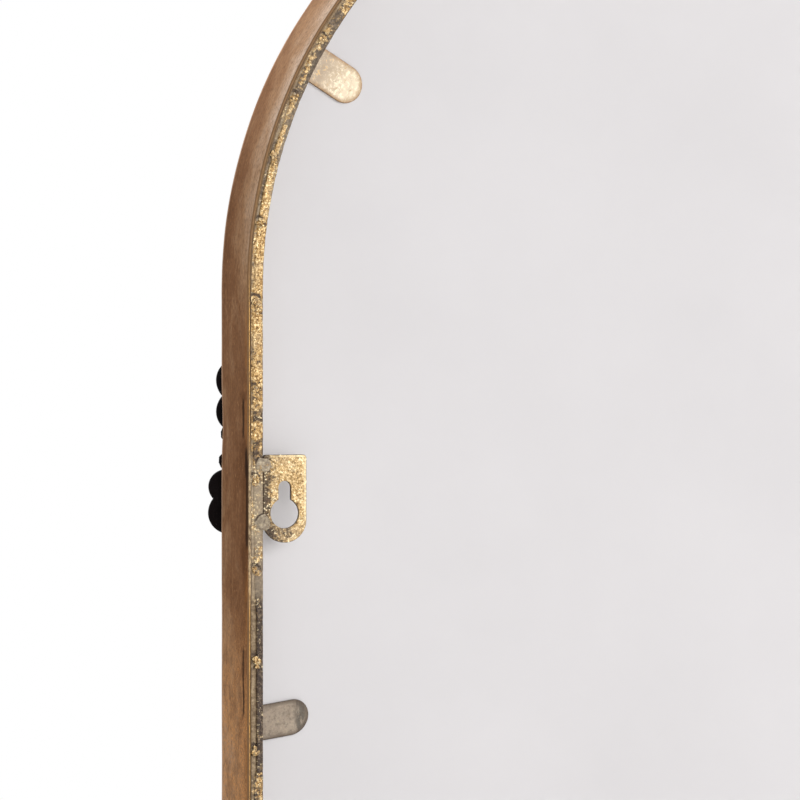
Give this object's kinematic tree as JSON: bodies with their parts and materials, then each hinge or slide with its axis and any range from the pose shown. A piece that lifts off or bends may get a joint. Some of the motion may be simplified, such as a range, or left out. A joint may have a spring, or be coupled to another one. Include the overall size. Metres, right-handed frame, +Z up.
{
  "type": "wall mirror",
  "caption": "Arched wall mirror in a deep metal frame with a black sprig on each side; bendable tabs hold glass and board, and keyhole plates hang it on screws.",
  "frame": {"origin": "midway between the round holes of the two keyhole hangers, on the plane of the frame's back", "axes": "+Z up, +Y towards the wall, the mirror faces -Y, +X to the right as seen from the front"},
  "size_m": [0.4054, 0.0458, 0.7999],
  "materials": {
    "band_bronze": "satin antique bronze",
    "gilt_iron": "worn gold leaf",
    "weld_metal": "rough weld, partly gilt",
    "tab_steel": "pale champagne, stained",
    "black_iron": "satin black",
    "white_board": "smooth white laminate",
    "mirror": "silvered glass"
  },
  "bodies": {
    "frame": {"outer_band": "band_bronze", "inner_frame": "gilt_iron", "frame_welds": "weld_metal", "mirror_glass": "mirror", "backing_board": "white_board", "hanger_plate_left": "gilt_iron", "hanger_plate_right": "gilt_iron", "hanger_welds": "weld_metal", "tab_feet": "tab_steel", "sprig_stem_left": "black_iron", "upper_blossom_left": "black_iron", "upper_button_left": "black_iron", "lower_blossom_left": "black_iron", "lower_button_left": "black_iron", "upper_leaf_left": "black_iron", "lower_leaf_left": "black_iron", "inner_leaf_left": "black_iron", "sprig_stem_right": "black_iron", "upper_blossom_right": "black_iron", "upper_button_right": "black_iron", "lower_blossom_right": "black_iron", "lower_button_right": "black_iron", "upper_leaf_right": "black_iron", "lower_leaf_right": "black_iron", "inner_leaf_right": "black_iron"},
    "tab_top": {"tab_top": "tab_steel"},
    "tab_arch_left": {"tab_arch_left": "tab_steel"},
    "tab_arch_right": {"tab_arch_right": "tab_steel"},
    "tab_upper_left": {"tab_upper_left": "tab_steel"},
    "tab_upper_right": {"tab_upper_right": "tab_steel"},
    "tab_lower_left": {"tab_lower_left": "tab_steel"},
    "tab_lower_right": {"tab_lower_right": "tab_steel"},
    "tab_bottom_left": {"tab_bottom_left": "tab_steel"},
    "tab_bottom_right": {"tab_bottom_right": "tab_steel"}
  },
  "joints": [
    {"name": "tab_top_fold", "type": "hinge", "parent": "frame", "child": "tab_top", "pos_m": [0, -0.0143, 0.28365], "axis": [1, 0, 0], "range_deg": [0, 90]},
    {"name": "tab_arch_left_fold", "type": "hinge", "parent": "frame", "child": "tab_arch_left", "pos_m": [-0.16789, -0.0143, 0.18495], "axis": [0.4863, 0, 0.8738], "range_deg": [0, 90]},
    {"name": "tab_arch_right_fold", "type": "hinge", "parent": "frame", "child": "tab_arch_right", "pos_m": [0.16789, -0.0143, 0.18495], "axis": [0.4863, 0, -0.8738], "range_deg": [0, 90]},
    {"name": "tab_upper_left_fold", "type": "hinge", "parent": "frame", "child": "tab_upper_left", "pos_m": [-0.1923, -0.0143, -0.0869], "axis": [0, 0, 1], "range_deg": [0, 90]},
    {"name": "tab_upper_right_fold", "type": "hinge", "parent": "frame", "child": "tab_upper_right", "pos_m": [0.1923, -0.0143, -0.0869], "axis": [0, 0, -1], "range_deg": [0, 90]},
    {"name": "tab_lower_left_fold", "type": "hinge", "parent": "frame", "child": "tab_lower_left", "pos_m": [-0.1923, -0.0143, -0.3625], "axis": [0, 0, 1], "range_deg": [0, 90]},
    {"name": "tab_lower_right_fold", "type": "hinge", "parent": "frame", "child": "tab_lower_right", "pos_m": [0.1923, -0.0143, -0.3625], "axis": [0, 0, -1], "range_deg": [0, 90]},
    {"name": "tab_bottom_left_fold", "type": "hinge", "parent": "frame", "child": "tab_bottom_left", "pos_m": [-0.1, -0.0143, -0.5008], "axis": [-1, 0, 0], "range_deg": [0, 90]},
    {"name": "tab_bottom_right_fold", "type": "hinge", "parent": "frame", "child": "tab_bottom_right", "pos_m": [0.1, -0.0143, -0.5008], "axis": [-1, 0, 0], "range_deg": [0, 90]}
  ]
}
